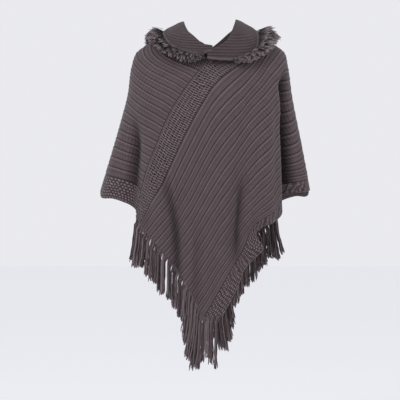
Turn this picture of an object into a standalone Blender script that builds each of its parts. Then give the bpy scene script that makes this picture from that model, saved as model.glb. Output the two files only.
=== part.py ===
"""A hooded knitted poncho, hanging as it is worn, with no wearer in it.

Two ribbed rectangles make the body. Each lies over one shoulder, its start sewn to the long edge of the
other, and its fringed end hangs free. A hood in two halves, down on the back, has a fur strip on its edge.
Metres, +Z up, the front towards -Y. The origin is the middle of the neck, on the shoulder line. Azimuths
are degrees around the neck axis: 0 is the front, 90 the side at +X, 180 the back.
"""

import math

import bmesh
import bpy
import numpy as np

COLLECTION = "knitted_poncho"

# Cut of one body panel. Its ribs run along its length.
PANEL_LENGTH = 0.83
PANEL_WIDTH = 0.50
NECK_LENGTH = PANEL_LENGTH - PANEL_WIDTH  # the stretch of the long edge that is left open for the neck
BAND_WIDTH = 0.055  # patterned band along each long edge
RIB_COUNT = 17  # ribs between the two bands

WALL = 0.003  # body cloth without its ribs
RIB_HEIGHT = 0.0028
BAND_HEIGHT = 0.0012
SEAM_GAP = 0.0005
NECK_ROWS = 17  # steps along a panel beside the neck
SEAM_ROWS = 27  # and from there to its end
INNER_STEP = 2  # rib lines on the outer side for one line on the inner side

# The plain drape is a stack of rings around the neck axis. drop is the way down the cloth from the neck.
RING_COLUMNS = ("drop", "right", "left", "front", "back", "square", "side_z", "front_z", "back_z")
RINGS = (
    (0.00, 0.118, 0.118, 0.078, 0.086, 2.0, 0.030, -0.030, -0.012),
    (0.05, 0.160, 0.158, 0.110, 0.112, 2.2, 0.018, -0.077, -0.058),
    (0.09, 0.197, 0.193, 0.127, 0.122, 2.3, 0.001, -0.115, -0.097),
    (0.12, 0.219, 0.216, 0.136, 0.127, 2.4, -0.017, -0.145, -0.127),
    (0.16, 0.228, 0.229, 0.145, 0.132, 2.5, -0.052, -0.185, -0.167),
    (0.25, 0.240, 0.242, 0.152, 0.138, 2.6, -0.141, -0.275, -0.257),
    (0.35, 0.259, 0.268, 0.155, 0.142, 2.6, -0.239, -0.375, -0.357),
    (0.45, 0.279, 0.296, 0.157, 0.146, 2.6, -0.335, -0.475, -0.457),
    (0.55, 0.298, 0.325, 0.160, 0.150, 2.6, -0.430, -0.575, -0.557),
    (0.80, 0.330, 0.370, 0.166, 0.158, 2.6, -0.670, -0.825, -0.807),
)

# The largest folds. Each starts at start_drop, is full FOLD_RISE further down and ends at end_drop. depth
# is out of the cloth, so a trough's is below 0. slide moves a crest sideways, to a higher azimuth.
FOLD_RISE = 0.14
FOLD_FADE = 0.1  # length in which a fold fades out at its end
FOLD_SETTLED = 0.6  # drop below which a fold keeps its azimuth
FOLD_COLUMNS = ("top_azimuth", "low_azimuth", "half_width", "start_drop", "end_drop", "depth", "slide")
FOLDS = (
    (67, 60, 9, 0.15, 0.90, -0.026, 0.000),  # between the front and the left arm
    (54, 48, 9, 0.10, 0.90, 0.010, 0.004),
    (38, 41, 8, 0.36, 0.66, 0.007, -0.006),  # lap above the hem
    (33, 25, 8, 0.26, 0.66, -0.014, 0.000),
    (4, 8, 16, 0.30, 0.90, 0.006, 0.000),
    (-33, -32, 7, 0.34, 0.72, -0.013, 0.000),
    (-50, -46, 8, 0.24, 0.64, 0.010, 0.000),
    (-66, -62, 8, 0.22, 0.90, -0.018, 0.000),  # between the front and the right arm
    (247, 240, 9, 0.15, 0.90, -0.024, 0.000),  # the back, much like the front
    (232, 228, 9, 0.12, 0.90, 0.010, 0.004),
    (216, 222, 8, 0.38, 0.66, 0.007, -0.006),
    (208, 204, 8, 0.28, 0.70, -0.013, 0.000),
    (182, 186, 15, 0.34, 0.90, 0.006, 0.000),
    (149, 151, 7, 0.32, 0.74, -0.012, 0.000),
    (131, 134, 8, 0.22, 0.62, 0.009, 0.000),
    (113, 117, 8, 0.20, 0.90, -0.016, 0.000),
)

# Edges of the panel over the left shoulder, at +X, as places on the drape. The other panel is half a turn
# on.
EDGE_COLUMNS = ("share", "azimuth", "drop")
SEAM = (  # from the neck down the front to the hem
    (0.00, -2.0, 0.000),
    (0.16, -23.0, 0.080),
    (0.33, -35.0, 0.150),
    (0.50, -44.0, 0.228),
    (0.65, -49.5, 0.303),
    (0.79, -54.0, 0.377),
    (0.90, -57.5, 0.442),
    (1.00, -61.0, 0.502),
)
END = (  # from the point of the hem up the fringed end to the seam
    (0.00, 12.5, 0.763),
    (0.11, -6.0, 0.764),
    (0.22, -13.0, 0.727),
    (0.41, -26.0, 0.657),
    (0.59, -39.5, 0.600),
    (0.80, -51.5, 0.543),
    (0.92, -57.5, 0.523),
    (1.00, -61.0, 0.502),
)
HEM = (  # from the seam on the back, around the arm, to the point in front
    (0.00, 119.0, 0.502),
    (0.08, 113.5, 0.500),
    (0.16, 107.0, 0.512),
    (0.25, 98.0, 0.545),
    (0.33, 87.5, 0.545),
    (0.39, 77.0, 0.512),
    (0.44, 69.0, 0.489),
    (0.49, 62.5, 0.488),
    (0.535, 58.5, 0.508),
    (0.595, 50.0, 0.519),
    (0.63, 44.5, 0.522),
    (0.655, 41.0, 0.534),
    (0.685, 42.0, 0.557),
    (0.72, 44.0, 0.583),
    (0.76, 40.0, 0.605),
    (0.815, 32.0, 0.635),
    (0.875, 27.0, 0.676),
    (1.00, 12.5, 0.763),
)

# Where the panel passes from the back to the front: over the shoulder, then down the fold before the arm.
CROSSING_COLUMNS = ("share", "azimuth", "drop", "length_share")
CROSSING = (  # from the hem to the neck
    (0.00, 62.5, 0.488, 0.490),
    (0.11, 63.0, 0.448, 0.450),
    (0.30, 61.5, 0.358, 0.412),
    (0.50, 65.0, 0.223, 0.364),
    (0.65, 70.0, 0.133, 0.322),
    (0.80, 82.5, 0.062, 0.265),
    (1.00, 92.0, 0.000, 0.200),
)
BEND = (  # how far the ribs stray between the seam behind and the crossing, half way from hem to neck
    (0.00, 0.0, 0.000),
    (0.15, 1.5, -0.005),
    (0.30, -1.5, 0.000),
    (0.45, -7.0, 0.018),
    (0.60, -10.0, 0.034),
    (0.80, -7.0, 0.027),
    (1.00, 0.0, 0.000),
)
EDGE_HOLD = 3  # how soon the ribs straighten out, away from the neck, the seam and the hem
CORNER_REACH = 0.8  # how far the bend at the neck's corner spreads, for each step away from the edge

# The fringe: a narrow backing along the panel's end, and the strands that hang from it.
BACKING_HEIGHT = 0.007
BACKING_GAP = 0.0009
BACKING_MARGIN = 0.018  # share of the end left bare at its two corners
STRANDS = 40
ROOT_SHARE = 0.6  # of the pitch
STRAND_HALF_WIDTH = 0.0032
STRAND_HALF_DEPTH = 0.0026
STRAND_TURN = 0.012  # length in which a strand turns from the cloth's direction to straight down
STRAND_RINGS = 3
STRAND_COLUMNS = ("share", "length", "lean")
STRAND_SIZES = (  # share of the end from the point of the hem, and how far a tip strays towards the seam
    (0.00, 0.150, 0.000),
    (0.06, 0.122, 0.002),
    (0.13, 0.150, 0.010),
    (0.20, 0.178, 0.018),
    (0.28, 0.150, 0.014),
    (0.36, 0.117, 0.006),
    (0.60, 0.106, 0.003),
    (0.85, 0.108, 0.010),
    (1.00, 0.140, 0.028),
)
STRAND_STAGGER = 0.0038  # strands stand in turn in front of the backing and behind it

# One half of the hood, from the front edge round to the seam at the back. Azimuths are turned away from the
# front. The cloth rises from the neck to the roll, turns over and falls to the rim. Behind, it first hangs
# down to the bottom of the pouch. fur_reach and fur_z are the outer edge of the fur.
HOOD_COLUMNS = (
    "azimuth", "roll_reach", "roll_z", "rim_reach", "rim_z", "pouch_drop", "fur_reach", "fur_z",
)
LEFT_HOOD = (
    (-4, 0.112, -0.026, 0.119, -0.041, 0.00, 0.130, -0.056),
    (10, 0.115, -0.011, 0.123, -0.045, 0.00, 0.136, -0.058),
    (26, 0.104, 0.007, 0.128, -0.046, 0.00, 0.148, -0.058),
    (40, 0.094, 0.028, 0.140, -0.043, 0.00, 0.172, -0.044),
    (52, 0.087, 0.052, 0.150, -0.030, 0.00, 0.192, -0.028),
    (65, 0.082, 0.070, 0.152, -0.004, 0.00, 0.203, -0.001),
    (88, 0.078, 0.083, 0.140, 0.048, 0.00, 0.209, 0.036),
    (110, 0.086, 0.078, 0.152, 0.036, 0.00, 0.213, 0.016),
    (130, 0.093, 0.063, 0.168, 0.010, 0.05, 0.222, -0.016),
    (150, 0.099, 0.041, 0.182, -0.022, 0.15, 0.227, -0.050),
    (166, 0.101, 0.019, 0.185, -0.038, 0.21, 0.227, -0.065),
    (180, 0.102, 0.001, 0.186, -0.042, 0.23, 0.227, -0.070),
)
RIGHT_HOOD = (
    (-4, 0.084, -0.004, 0.101, -0.018, 0.00, 0.110, -0.033),
    (10, 0.094, 0.000, 0.110, -0.026, 0.00, 0.124, -0.044),
    (22, 0.097, 0.011, 0.122, -0.027, 0.00, 0.138, -0.053),
    (36, 0.091, 0.026, 0.131, -0.020, 0.00, 0.157, -0.044),
    (50, 0.086, 0.043, 0.147, -0.004, 0.00, 0.177, -0.022),
    (66, 0.082, 0.062, 0.146, 0.024, 0.00, 0.189, 0.010),
    (88, 0.079, 0.077, 0.139, 0.048, 0.00, 0.192, 0.038),
    (110, 0.086, 0.076, 0.152, 0.036, 0.00, 0.206, 0.018),
    (130, 0.093, 0.062, 0.168, 0.010, 0.05, 0.220, -0.014),
    (150, 0.099, 0.041, 0.182, -0.022, 0.15, 0.227, -0.050),
    (166, 0.101, 0.019, 0.185, -0.038, 0.21, 0.227, -0.065),
    (180, 0.102, 0.001, 0.186, -0.042, 0.23, 0.227, -0.070),
)
HOOD_WALL = 0.003
HOOD_OVERLAP = 0.014  # how far the left half's front edge stands in front of the right half's
HOOD_STATIONS = 21
HOOD_ROWS = 19
BACK_SEAM_TURN = 0.15  # degrees left open at the seam behind, on each side
POUCH_LIFT = 0.016  # the pouch's inner layer, above the back
POUCH_TURN = 0.9  # how far its outer layer stands out, as a share of the way to the rim
POUCH_SHALLOW = 0.03  # a pouch less deep than this is a plain fall
FALL_CROWN = 0.05  # how high the cloth arches over its roll, as a share of the fall
# Knots of a hood section: name, place along it, share of the pouch's drop behind, share of the front's fall
FALL_KNOTS = (
    ("high", 1.40, 0.25, 0.20),
    ("mid", 1.95, 0.60, 0.40),
    ("low", 2.55, 1.00, 0.60),
)
TURN_PLACE = 2.85
RIM_PLACE = 3.70
FUR_START = {"left": 33, "right": 14}  # azimuth, away from the front
FUR_HALF_THICKNESS = 0.016
FUR_GAP = 0.0016
FUR_STATIONS = 18
FUR_SIDES = 8

KNIT_COLOUR = (0.105, 0.085, 0.092, 1.0)
FUR_COLOUR = (0.120, 0.100, 0.092, 1.0)


def along(places, values, at):
    """The values at the places asked for, on a smooth curve through the rows of a table."""
    places = np.asarray(places, float)
    values = np.asarray(values, float)
    slopes = np.gradient(values, places)
    row = np.clip(np.searchsorted(places, at, side="right") - 1, 0, len(places) - 2)
    step = places[row + 1] - places[row]
    t = np.clip((at - places[row]) / step, 0.0, 1.0)
    start = values[row] * (1 + 2 * t) * (1 - t) ** 2 + slopes[row] * step * t * (1 - t) ** 2
    end = values[row + 1] * t * t * (3 - 2 * t) + slopes[row + 1] * step * t * t * (t - 1)
    return start + end


def read(table, names, at):
    """Every column of a table at the places asked for, by name. The first column holds the places."""
    columns = np.array(table, float).T
    return {name: along(columns[0], columns[k], at) for k, name in enumerate(names) if k}


def ease(t):
    """0 before 0, 1 after 1 and smooth between."""
    t = np.clip(t, 0.0, 1.0)
    return t * t * (3 - 2 * t)


def unit(vectors):
    return vectors / np.linalg.norm(vectors, axis=-1, keepdims=True)


def plain_drape(azimuth, drop):
    """Points of the cloth's inner side, before its folds."""
    azimuth, drop = np.broadcast_arrays(np.asarray(azimuth, float), drop)
    ring = read(RINGS, RING_COLUMNS, drop)
    across = np.sin(np.radians(azimuth))
    ahead = np.cos(np.radians(azimuth))
    half_width = np.where(across > 0, ring["right"], ring["left"])
    half_depth = np.where(ahead > 0, ring["front"], ring["back"])
    square = ring["square"]
    reach = (np.abs(across / half_width) ** square + np.abs(ahead / half_depth) ** square) ** (-1 / square)
    towards_end = np.abs(reach * ahead / half_depth) ** 1.5
    end_z = np.where(ahead > 0, ring["front_z"], ring["back_z"])
    height = ring["side_z"] + (end_z - ring["side_z"]) * towards_end
    return np.stack([reach * across, -reach * ahead, height], axis=-1)


def fold_moves(azimuth, drop):
    """How far the folds move each place out of the cloth and along it."""
    azimuth, drop = np.broadcast_arrays(azimuth, drop)
    out = np.zeros(azimuth.shape)
    aside = np.zeros_like(out)
    for row in FOLDS:
        fold = dict(zip(FOLD_COLUMNS, row))
        below = drop - fold["start_drop"]
        turned = ease(below / (min(fold["end_drop"], FOLD_SETTLED) - fold["start_drop"]))
        middle = fold["top_azimuth"] + (fold["low_azimuth"] - fold["top_azimuth"]) * turned
        away = ((azimuth - middle + 180) % 360 - 180) / (2 * fold["half_width"])
        hill = 0.5 + 0.5 * np.cos(np.pi * np.clip(away, -1, 1))
        strength = hill * ease(below / FOLD_RISE) * ease((fold["end_drop"] - drop) / FOLD_FADE)
        out += fold["depth"] * strength
        aside += fold["slide"] * strength
    return out, aside


def drape(azimuth, drop):
    """Points of the cloth's inner side, with its folds."""
    point = plain_drape(azimuth, drop)
    nearby = plain_drape(np.asarray(azimuth) + 0.5, drop)
    sideways = unit((nearby - point) * (1, 1, 0))
    outward = np.stack([sideways[..., 1], -sideways[..., 0], np.zeros_like(sideways[..., 0])], axis=-1)
    out, aside = fold_moves(azimuth, drop)
    return point + outward * out[..., None] + sideways * aside[..., None]


def edge(table, share):
    """(azimuth, drop) at each share of an edge's length."""
    place = read(table, EDGE_COLUMNS, share)
    return np.stack([place["azimuth"], place["drop"]], axis=-1)


def panel_top(length_share):
    """The long edge by the neck: half way round the neck, then down the seam."""
    corner = NECK_LENGTH / PANEL_LENGTH
    neck = np.stack([178.0 - 180.0 * length_share / corner, np.zeros(length_share.shape)], axis=-1)
    down_seam = edge(SEAM, (length_share - corner) / (1 - corner))
    return np.where((length_share < corner)[..., None], neck, down_seam)


def straight(first, last, share):
    return (1 - share)[..., None] * first + share[..., None] * last


def half_panel(share, width_share, first, last, hem, top):
    """(azimuth, drop) on the stretch of a panel between two cross lines.

    Ribs run straight from the first line to the last one, and bend near the hem and the top to follow them.
    """
    place = straight(first(width_share), last(width_share), share)
    for side, corner, nearness in ((hem, 0.0, 1 - width_share), (top, 1.0, width_share)):
        reach = np.minimum(np.minimum(share, 1 - share), CORNER_REACH * (1 - nearness))
        nearby = [share + reach * step for step in np.linspace(-1, 1, 9)]
        bends = [side(at) - straight(first(corner), last(corner), at) for at in nearby]
        place = place + (nearness**EDGE_HOLD)[..., None] * np.mean(bends, axis=0)
    return place


def panel_place(length_share, width_share):
    """(azimuth, drop) of a place on the panel over the left shoulder.

    length_share runs from the seam on the back to the fringed end, width_share from the hem to the neck.
    """
    u, v = np.broadcast_arrays(length_share, width_share)
    crossing = read(CROSSING, CROSSING_COLUMNS, v)["length_share"]
    hem_crossing, top_crossing = CROSSING[0][-1], CROSSING[-1][-1]
    share_behind = np.clip(u / crossing, 0, 1)
    behind = half_panel(
        share_behind,
        v,
        first=lambda share: edge(SEAM, 1 - share) + (180.0, 0.0),
        last=lambda share: edge(CROSSING, share),
        hem=lambda share: edge(HEM, share * hem_crossing),
        top=lambda share: panel_top(share * top_crossing),
    )
    behind = behind + (4 * v * (1 - v))[..., None] * edge(BEND, share_behind)
    ahead = half_panel(
        np.clip((u - crossing) / (1 - crossing), 0, 1),
        v,
        first=lambda share: edge(CROSSING, share),
        last=lambda share: edge(END, share),
        hem=lambda share: edge(HEM, hem_crossing + share * (1 - hem_crossing)),
        top=lambda share: panel_top(top_crossing + share * (1 - top_crossing)),
    )
    return np.where((u < crossing)[..., None], behind, ahead)


def panel_points(turn, length_share, width_share):
    """Points of a panel's inner side and the directions out of them. turn is 0 or 180."""
    place = panel_place(length_share, width_share)
    azimuth, drop = place[..., 0] + turn, np.maximum(place[..., 1], 0.0)
    point = drape(azimuth, drop)
    around = drape(azimuth + 0.5, drop) - point
    down = drape(azimuth, drop + 0.002) - point
    return point, unit(np.cross(down, around))


def panel_lines():
    """The width shares of a panel's outer lines, and how far the knit is raised at each."""
    rib = (PANEL_WIDTH - 2 * BAND_WIDTH) / RIB_COUNT
    ribs = [BAND_WIDTH + rib * k / 2 for k in range(2 * RIB_COUNT + 1)]
    bands = [0.0, BAND_WIDTH / 2], [PANEL_WIDTH - BAND_WIDTH / 2, PANEL_WIDTH]
    raised = [RIB_HEIGHT * (k % 2) for k in range(2 * RIB_COUNT + 1)]
    shares = np.array(bands[0] + ribs + bands[1]) / PANEL_WIDTH
    return shares, np.array([0.0, BAND_HEIGHT] + raised + [BAND_HEIGHT, 0.0])


def panel_rows():
    """The length shares of a panel's cross lines. One of them meets the corner of the neck."""
    corner = NECK_LENGTH / PANEL_LENGTH
    return np.append(np.linspace(0, corner, NECK_ROWS + 1)[:-1], np.linspace(corner, 1, SEAM_ROWS + 1))


def on_line(points, places, at):
    """Points at the places asked for, on the straight stretches between points with places of their own."""
    return np.stack([np.interp(at, places, points[:, k]) for k in range(3)], axis=-1)


def panel_grids():
    """(outer, inner, directions out) of both panels, by turn.

    A panel's first row is laid along the other panel's long edge, a seam gap away from it.
    """
    lines, raised = panel_lines()
    rows = panel_rows()
    inner = {}
    out = {}
    for turn in (0, 180):
        inner[turn], out[turn] = panel_points(turn, rows[:, None], lines[None, :])
    seam_places = (rows - NECK_LENGTH / PANEL_LENGTH) / (1 - NECK_LENGTH / PANEL_LENGTH)
    for turn in (0, 180):
        inner[turn][0] = on_line(inner[180 - turn][:, -1], seam_places, 1 - lines)
        out[turn][0] = on_line(out[180 - turn][:, -1], seam_places, 1 - lines)
        inner[turn][0] += unit(inner[turn][1] - inner[turn][0]) * SEAM_GAP
    thickness = (WALL + raised)[:, None]
    return {turn: (inner[turn] + out[turn] * thickness, inner[turn], out[turn]) for turn in (0, 180)}


def mesh_object(name, bm, collection, colour):
    """A finished mesh, with its faces turned outwards, as an object with its own material."""
    bmesh.ops.recalc_face_normals(bm, faces=bm.faces[:])
    mesh = bpy.data.meshes.new(name)
    bm.to_mesh(mesh)
    bm.free()
    obj = bpy.data.objects.new(name, mesh)
    collection.objects.link(obj)
    material = bpy.data.materials.new(name)
    material.use_nodes = True
    shader = material.node_tree.nodes["Principled BSDF"]
    shader.inputs["Base Color"].default_value = colour
    shader.inputs["Roughness"].default_value = 0.9
    shader.inputs["Metallic"].default_value = 0.0
    mesh.materials.append(material)
    return obj


def grid_vertices(bm, points):
    return [[bm.verts.new(point) for point in row] for row in points]


def grid_faces(bm, vertices):
    """Two triangles for each cell of a grid, split along its shorter diagonal."""
    for near, far in zip(vertices, vertices[1:]):
        for k in range(len(near) - 1):
            a, b, c, d = near[k], near[k + 1], far[k + 1], far[k]
            if (a.co - c.co).length < (b.co - d.co).length:
                bm.faces.new((a, b, c))
                bm.faces.new((a, c, d))
            else:
                bm.faces.new((a, b, d))
                bm.faces.new((b, c, d))


def inner_columns(count):
    """The lines of a panel that its inner side has too: each one of the bands, and one for each rib."""
    return [0, 1] + list(range(2, count - 2, INNER_STEP)) + [count - 2, count - 1]


def wall_mesh(outer, inner, columns):
    """A closed wall between an outer grid and an inner one that has only the listed columns."""
    bm = bmesh.new()
    outside = grid_vertices(bm, outer)
    inside = grid_vertices(bm, inner[:, columns])
    grid_faces(bm, outside)
    grid_faces(bm, inside)
    for out_row, in_row in ((outside[0], inside[0]), (outside[-1], inside[-1])):
        for k in range(len(columns) - 1):
            strip = out_row[columns[k] : columns[k + 1] + 1]
            bm.faces.new(strip + [in_row[k + 1], in_row[k]])
    for column in (0, -1):
        for k in range(len(outside) - 1):
            corners = (outside[k][column], outside[k + 1][column], inside[k + 1][column], inside[k][column])
            bm.faces.new(corners)
    return bm


def make_panel(name, grid, collection):
    outer, inner, _ = grid
    columns = inner_columns(outer.shape[1])
    return mesh_object(name, wall_mesh(outer, inner, columns), collection, KNIT_COLOUR)


def strand_rings(root, onward, aside, outward, stagger, length, lean):
    """Rings of four points from a strand's root to its tip."""
    half_width = aside * STRAND_HALF_WIDTH
    half_depth = outward * STRAND_HALF_DEPTH
    square = np.array([
        -half_width - half_depth,
        half_width - half_depth,
        half_width + half_depth,
        -half_width + half_depth,
    ])
    down = np.array([0.0, 0.0, -1.0])
    turned = root + (0.6 * onward + down) * STRAND_TURN + outward * stagger
    rings = []
    for k in range(STRAND_RINGS):
        share = k / (STRAND_RINGS - 1)
        middle = turned + lean * share**1.5 + down * (length - STRAND_TURN) * share
        rings.append(middle + square * (1 - 0.35 * share * share))
    return rings


def fringe_backing(grid):
    """The backing's four edges, each with a point at both sides of each strand, and its two directions."""
    _, inner, out = grid
    lines, _ = panel_lines()
    middles = (np.arange(STRANDS) + 0.5) / STRANDS
    half = ROOT_SHARE / STRANDS / 2
    shares = np.stack([middles - half, middles + half], axis=-1).ravel()
    shares = BACKING_MARGIN + (1 - 2 * BACKING_MARGIN) * shares
    coarse = inner_columns(len(lines))
    onward = unit(on_line(inner[-1] - inner[-2], lines, shares))
    outward = unit(on_line(out[-1], lines, shares))
    top_in = on_line(inner[-1, coarse], lines[coarse], shares) + onward * BACKING_GAP
    top_out = on_line(inner[-1] + out[-1] * WALL, lines, shares) + onward * BACKING_GAP
    down = onward * BACKING_HEIGHT
    return (top_in, top_out, top_out + down, top_in + down), onward, outward


def make_fringe(name, grid, collection):
    edges, onward, outward = fringe_backing(grid)
    bm = bmesh.new()
    top_in, top_out, low_out, low_in = [[bm.verts.new(point) for point in line] for line in edges]
    last = 2 * STRANDS - 1
    for k in range(last):
        sides = [(top_in, top_out), (top_out, low_out), (low_in, top_in)]
        if k % 2:  # between two strands; a strand grows from the others
            sides.append((low_out, low_in))
        for near, far in sides:
            bm.faces.new((near[k], near[k + 1], far[k + 1], far[k]))
    for k in (0, last):
        bm.faces.new((top_in[k], top_out[k], low_out[k], low_in[k]))
    sizes = read(STRAND_SIZES, STRAND_COLUMNS, (np.arange(STRANDS) + 0.5) / STRANDS)
    for n in range(STRANDS):
        k = 2 * n
        before = [low_in[k], low_in[k + 1], low_out[k + 1], low_out[k]]
        root = np.array([vertex.co[:] for vertex in before]).mean(axis=0)
        aside = unit((edges[3][k + 1] - edges[3][k]) * (1, 1, 0))
        level = unit(outward[k] * (1, 1, 0))
        length = sizes["length"][n] * (1 + 0.06 * math.sin(2.1 * n) + 0.04 * math.sin(5.3 * n))
        stagger = STRAND_STAGGER * (-1) ** n
        lean = aside * sizes["lean"][n] + level * stagger * 0.5
        for ring in strand_rings(root, onward[k], aside, level, stagger, length, lean):
            ring = [bm.verts.new(point) for point in ring]
            for i in range(4):
                j = (i + 1) % 4
                bm.faces.new((before[i], before[j], ring[j], ring[i]))
            before = ring
        bm.faces.new(before)
    return mesh_object(name, bm, collection, KNIT_COLOUR)


def polar(azimuth, reach, height):
    angle = np.radians(azimuth)
    return np.stack([reach * np.sin(angle), -reach * np.cos(angle), height + 0 * angle], axis=-1)


def above_body(azimuth, drop, lift):
    """Points at a height over the body panels' outer side."""
    point = plain_drape(azimuth, drop)
    around = plain_drape(azimuth + 0.5, drop) - point
    down = plain_drape(azimuth, drop + 0.002) - point
    return point + unit(np.cross(down, around)) * (WALL + lift)


def hood_sections(side, table, lift):
    """Hood cloth as a grid: a row for each station around the neck, from the neck seam to the rim."""
    away = np.linspace(table[0][0], table[-1][0] - BACK_SEAM_TURN, HOOD_STATIONS)
    at = read(table, HOOD_COLUMNS, away)
    azimuth = side * away
    at_front = 1 - ease((away + 4) / 30)
    neck = plain_drape(azimuth, np.zeros(len(away))) + (0, 0, WALL + SEAM_GAP)
    neck = neck + polar(azimuth, lift * at_front, 0)
    roll = polar(azimuth, at["roll_reach"], at["roll_z"])
    rim = polar(azimuth, at["rim_reach"], at["rim_z"])
    pouch_drop = np.maximum(at["pouch_drop"], POUCH_SHALLOW)
    hangs = ease((pouch_drop - POUCH_SHALLOW) / 0.10)
    knots = {0.0: neck, 0.5: (neck + roll) / 2, 1.0: roll}
    crown = np.zeros_like(roll)
    crown[:, 2] = FALL_CROWN * np.linalg.norm(rim - roll, axis=-1)
    for _, place, drop_share, fall_share in FALL_KNOTS:
        behind = above_body(azimuth, pouch_drop * drop_share, POUCH_LIFT)
        in_front = roll + (rim - roll) * fall_share + crown
        knots[place] = in_front + (behind - in_front) * hangs[:, None]
    low = above_body(azimuth, pouch_drop, POUCH_LIFT)
    turn_out = POUCH_TURN * (at["rim_reach"] - np.hypot(low[:, 0], low[:, 1]))
    behind = low + polar(azimuth, turn_out, 0)
    in_front = roll + (rim - roll) * 0.75 + crown
    knots[TURN_PLACE] = in_front + (behind - in_front) * hangs[:, None]
    knots[RIM_PLACE] = rim
    places = sorted(knots)
    rows = np.linspace(0, RIM_PLACE, HOOD_ROWS)
    sections = []
    for n in range(len(away)):
        section = [along(places, [knots[place][n, k] for place in places], rows) for k in range(3)]
        sections.append(np.stack(section, axis=-1))
    return np.array(sections)


def grid_normals(points):
    return unit(np.cross(np.gradient(points, axis=0), np.gradient(points, axis=1)))


def make_hood(name, side, table, lift, collection):
    middle = hood_sections(side, table, lift)
    out = grid_normals(middle)
    out[-1, :, 0] = 0  # the two halves stay apart along their seam
    offset = unit(out) * (HOOD_WALL / 2)
    wall = wall_mesh(middle + offset, middle - offset, list(range(HOOD_ROWS)))
    return mesh_object(name, wall, collection, KNIT_COLOUR)


def make_fur(name, side, table, first, collection):
    """A soft strip outside the rim, narrow at its root and reaching as far as the fur does."""
    away = np.linspace(first, table[-1][0] - BACK_SEAM_TURN, FUR_STATIONS)
    at = read(table, HOOD_COLUMNS, away)
    rim = polar(side * away, at["rim_reach"], at["rim_z"])
    tip = polar(side * away, at["fur_reach"], at["fur_z"])
    outwards = unit(tip - rim)
    root = rim + outwards * (HOOD_WALL / 2 + FUR_GAP)
    middle = (root + tip) / 2
    half_width = np.linalg.norm(tip - root, axis=-1)[:, None] / 2
    across = unit(np.cross(outwards, np.gradient(rim, axis=0)))
    across[-1, 0] = 0
    outwards[-1, 0] = 0
    bm = bmesh.new()
    loops = []
    for n in range(len(away)):
        loop = []
        for k in range(FUR_SIDES):
            angle = 2 * math.pi * k / FUR_SIDES
            thickness = FUR_HALF_THICKNESS * math.sin(angle) * (0.65 + 0.35 * math.cos(angle))
            point = middle[n] + outwards[n] * half_width[n] * math.cos(angle) + across[n] * thickness
            loop.append(bm.verts.new(point))
        loops.append(loop)
    for near, far in zip(loops, loops[1:]):
        for k in range(FUR_SIDES):
            j = (k + 1) % FUR_SIDES
            bm.faces.new((near[k], near[j], far[j], far[k]))
    bm.faces.new(loops[0])
    bm.faces.new(loops[-1])
    return mesh_object(name, bm, collection, FUR_COLOUR)


def clear_scene():
    for obj in list(bpy.data.objects):
        bpy.data.objects.remove(obj, do_unlink=True)


def main():
    clear_scene()
    collection = bpy.data.collections.new(COLLECTION)
    bpy.context.scene.collection.children.link(collection)
    grids = panel_grids()
    make_panel("left_panel", grids[0], collection)
    make_panel("right_panel", grids[180], collection)
    make_fringe("front_fringe", grids[0], collection)
    make_fringe("back_fringe", grids[180], collection)
    for name, side, table, lift in (
        ("left", 1, LEFT_HOOD, HOOD_OVERLAP),
        ("right", -1, RIGHT_HOOD, 0.0),
    ):
        make_hood(f"hood_{name}", side, table, lift, collection)
        make_fur(f"fur_trim_{name}", side, table, FUR_START[name], collection)


if __name__ == "__main__":
    main()
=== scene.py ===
"""The looks of a hooded knitted poncho with a fringe and a faux-fur trim, on the form of its CAD solids.

Metres, +Z up, the front towards -Y. Azimuths are degrees around the neck axis: 0 is the front, 90 the
side at +X, 180 the back. drop is the way down the cloth from the neck. A panel's own places are length,
along its ribs, and width, across them from the hem to the neck.
"""

import math
from functools import partial

import bpy
import numpy as np
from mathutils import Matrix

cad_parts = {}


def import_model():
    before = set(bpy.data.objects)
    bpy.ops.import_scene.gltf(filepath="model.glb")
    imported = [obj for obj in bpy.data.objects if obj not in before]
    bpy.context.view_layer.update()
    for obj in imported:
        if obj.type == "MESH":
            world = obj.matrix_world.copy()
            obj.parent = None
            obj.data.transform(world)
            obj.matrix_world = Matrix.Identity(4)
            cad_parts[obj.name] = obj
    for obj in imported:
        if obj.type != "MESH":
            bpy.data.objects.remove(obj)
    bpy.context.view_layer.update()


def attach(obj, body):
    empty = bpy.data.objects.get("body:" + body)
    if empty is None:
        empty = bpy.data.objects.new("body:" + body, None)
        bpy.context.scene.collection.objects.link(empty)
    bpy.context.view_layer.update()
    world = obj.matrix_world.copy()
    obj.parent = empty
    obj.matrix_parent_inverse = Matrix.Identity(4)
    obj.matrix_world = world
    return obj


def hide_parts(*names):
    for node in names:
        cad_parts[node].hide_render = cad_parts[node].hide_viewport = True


SEED = 11

# Cut of one body panel, and its knit
PANEL_LENGTH = 0.83
PANEL_WIDTH = 0.50
NECK_LENGTH = PANEL_LENGTH - PANEL_WIDTH
BAND_WIDTH = 0.055
RIB_COUNT = 17
RIB_PITCH = (PANEL_WIDTH - 2 * BAND_WIDTH) / RIB_COUNT
RIB_STEPS = (0.0, 0.05, 0.12, 0.30, 0.46, 0.56, 0.67, 0.77, 0.83, 0.89, 0.95)  # lines in one rib
WALL = 0.003
RIB_HEIGHT = 0.0021
GROOVE_WIDTH = 0.0011
LIP_PLACE = 0.0040  # the light edge of a rib, from the groove
LIP_WIDTH = 0.0013
LIP_HEIGHT = 0.0008
FAINT_PLACE = 0.0100  # and a faint line further on
FAINT_WIDTH = 0.0016
FAINT_DEPTH = 0.0006
RIB_TONE = 0.54  # 0 is the darkest yarn and 1 the palest
# painted shade in the groove and the faint line, and a painted highlight on the rib's raised edge
GROOVE_SHADE = 0.40
LIP_LIGHT = 0.22
FAINT_SHADE = 0.14
BAND_HEIGHT = 0.0012
BAND_TONE = 0.5
ROW_PITCH = 0.0064  # a row of stitches across the ribs
MOSS_PITCH = 0.0122  # one stitch of the moss-stitch bands, along the cloth
MOSS_ROW = 0.0066
MOSS_DRIFT = 0.020
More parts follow.
